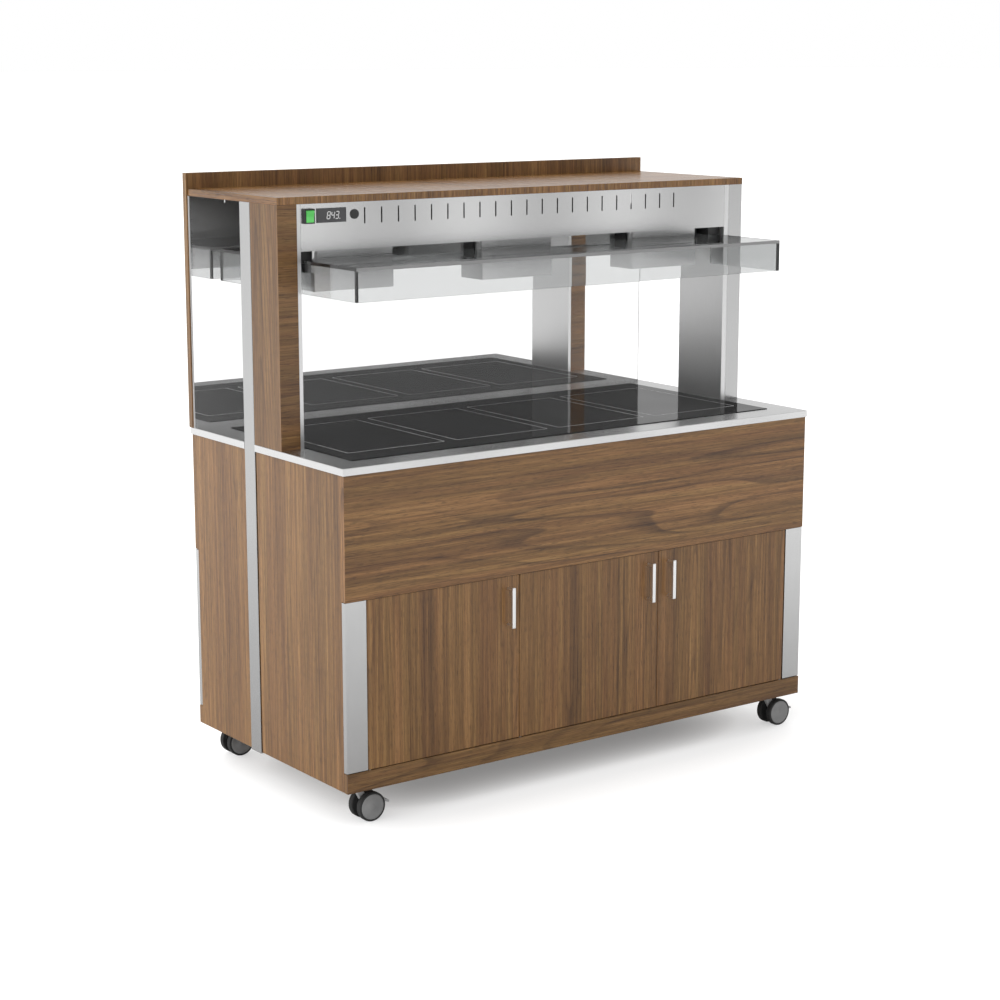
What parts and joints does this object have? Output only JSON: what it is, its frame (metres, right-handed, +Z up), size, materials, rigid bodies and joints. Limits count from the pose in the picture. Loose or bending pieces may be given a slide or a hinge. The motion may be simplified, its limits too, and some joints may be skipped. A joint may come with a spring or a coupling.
{
  "type": "self-service display counter",
  "caption": "Mobile heated buffet counter: wooden base with doors, black glass hob in a steel top, mirror back, slotted canopy with glass guards and heat lamps, casters.",
  "frame": {"origin": "on the floor, in the middle of the width and of the depth with the door handles", "axes": "+X along the front to the right as a customer sees it, +Y from the customer to the back, +Z up"},
  "size_m": [1.52, 0.772, 1.56],
  "materials": {
    "walnut": "satin walnut veneer",
    "carcass_board": "matt laminate",
    "stainless_steel": "brushed",
    "satin_handle": "satin",
    "hob_glass": "polished black",
    "guard_glass": "grey tint",
    "mirror": "silvered",
    "chrome": "polished",
    "black_plastic": "fine grain",
    "grey_plastic": "fine grain",
    "green_rocker": "lit from inside",
    "display_window": "smooth",
    "heating_pad": "matt",
    "lamp_ceramic": "matt",
    "grey_housing": "powder coat",
    "zinc_steel": "zinc plated",
    "tyre": "matt rubber"
  },
  "bodies": {
    "counter": {"left_front_side_panel": "walnut", "left_rear_side_panel": "walnut", "right_front_side_panel": "walnut", "right_rear_side_panel": "walnut", "front_apron": "walnut", "front_rail": "walnut", "rear_apron": "walnut", "rear_panel": "walnut", "left_post_block": "walnut", "right_post_block": "walnut", "top_shelf": "walnut", "back_panel": "walnut", "bottom_board": "carcass_board", "equipment_floor": "carcass_board", "partition": "carcass_board", "left_upright": "stainless_steel", "right_upright": "stainless_steel", "corner_strips": "stainless_steel", "worktop": "stainless_steel", "post_liners": "stainless_steel", "front_fascia": "stainless_steel", "rear_fascia": "stainless_steel", "canopy_base": "stainless_steel", "lamp_housings": "stainless_steel", "hob_tray": "stainless_steel", "hob_glass": "hob_glass", "guard_top_pane": "guard_glass", "front_guard_face": "guard_glass", "rear_guard_face": "guard_glass", "guard_ends": "guard_glass", "mirror": "mirror", "guard_pins": "chrome", "guard_hangers": "black_plastic", "switch_frame": "black_plastic", "cable_gland": "black_plastic", "display": "display_window", "heating_pads": "heating_pad", "heat_lamps": "lamp_ceramic", "power_unit": "grey_housing", "door_pins": "zinc_steel", "caster_plates": "zinc_steel"},
    "left_door": {"left_door": "walnut", "left_handle": "satin_handle"},
    "middle_door": {"middle_door": "walnut", "middle_handle": "satin_handle"},
    "right_door": {"right_door": "walnut", "right_handle": "satin_handle"},
    "rocker": {"rocker": "green_rocker"},
    "button": {"push_button": "black_plastic"},
    "front_left_swivel": {"front_left_fork": "grey_plastic"},
    "front_left_wheelset": {"front_left_wheels": "tyre"},
    "front_left_brake": {"front_left_brake_pedal": "grey_plastic"},
    "front_right_swivel": {"front_right_fork": "grey_plastic"},
    "front_right_wheelset": {"front_right_wheels": "tyre"},
    "front_right_brake": {"front_right_brake_pedal": "grey_plastic"},
    "rear_left_swivel": {"rear_left_fork": "grey_plastic"},
    "rear_left_wheelset": {"rear_left_wheels": "tyre"},
    "rear_right_swivel": {"rear_right_fork": "grey_plastic"},
    "rear_right_wheelset": {"rear_right_wheels": "tyre"}
  },
  "joints": [
    {"name": "left_door_hinge", "type": "hinge", "parent": "counter", "child": "left_door", "pos_m": [-0.68, -0.354, 0.359], "axis": [0, 0, -1], "range_deg": [0, 100]},
    {"name": "middle_door_hinge", "type": "hinge", "parent": "counter", "child": "middle_door", "pos_m": [-0.22267, -0.354, 0.359], "axis": [0, 0, -1], "range_deg": [0, 100]},
    {"name": "right_door_hinge", "type": "hinge", "parent": "counter", "child": "right_door", "pos_m": [0.68, -0.354, 0.359], "axis": [0, 0, 1], "range_deg": [0, 100]},
    {"name": "rocker_tilt", "type": "hinge", "parent": "counter", "child": "rocker", "pos_m": [-0.663, -0.087, 1.4725], "axis": [-1, 0, 0], "range_deg": [0, 16]},
    {"name": "button_push", "type": "slide", "parent": "counter", "child": "button", "axis": [0, 1, 0], "range_m": [0, 0.002], "stiffness_N_per_m": 300},
    {"name": "front_left_swivel_turn", "type": "hinge", "parent": "counter", "child": "front_left_swivel", "pos_m": [-0.682, -0.304, 0.084], "axis": [0, 0, 1], "continuous": true},
    {"name": "front_left_wheel_roll", "type": "hinge", "parent": "front_left_swivel", "child": "front_left_wheelset", "pos_m": [-0.657, -0.304, 0.0375], "axis": [0, 1, 0], "continuous": true},
    {"name": "front_left_brake_lift", "type": "hinge", "parent": "front_left_swivel", "child": "front_left_brake", "pos_m": [-0.639, -0.304, 0.0535], "axis": [0, -1, 0], "range_deg": [0, 20]},
    {"name": "front_right_swivel_turn", "type": "hinge", "parent": "counter", "child": "front_right_swivel", "pos_m": [0.682, -0.304, 0.084], "axis": [0, 0, 1], "continuous": true},
    {"name": "front_right_wheel_roll", "type": "hinge", "parent": "front_right_swivel", "child": "front_right_wheelset", "pos_m": [0.707, -0.304, 0.0375], "axis": [0, 1, 0], "continuous": true},
    {"name": "front_right_brake_lift", "type": "hinge", "parent": "front_right_swivel", "child": "front_right_brake", "pos_m": [0.725, -0.304, 0.0535], "axis": [0, -1, 0], "range_deg": [0, 20]},
    {"name": "rear_left_swivel_turn", "type": "hinge", "parent": "counter", "child": "rear_left_swivel", "pos_m": [-0.682, 0.3455, 0.084], "axis": [0, 0, 1], "continuous": true},
    {"name": "rear_left_wheel_roll", "type": "hinge", "parent": "rear_left_swivel", "child": "rear_left_wheelset", "pos_m": [-0.657, 0.3455, 0.0375], "axis": [0, 1, 0], "continuous": true},
    {"name": "rear_right_swivel_turn", "type": "hinge", "parent": "counter", "child": "rear_right_swivel", "pos_m": [0.682, 0.3455, 0.084], "axis": [0, 0, 1], "continuous": true},
    {"name": "rear_right_wheel_roll", "type": "hinge", "parent": "rear_right_swivel", "child": "rear_right_wheelset", "pos_m": [0.707, 0.3455, 0.0375], "axis": [0, 1, 0], "continuous": true}
  ]
}
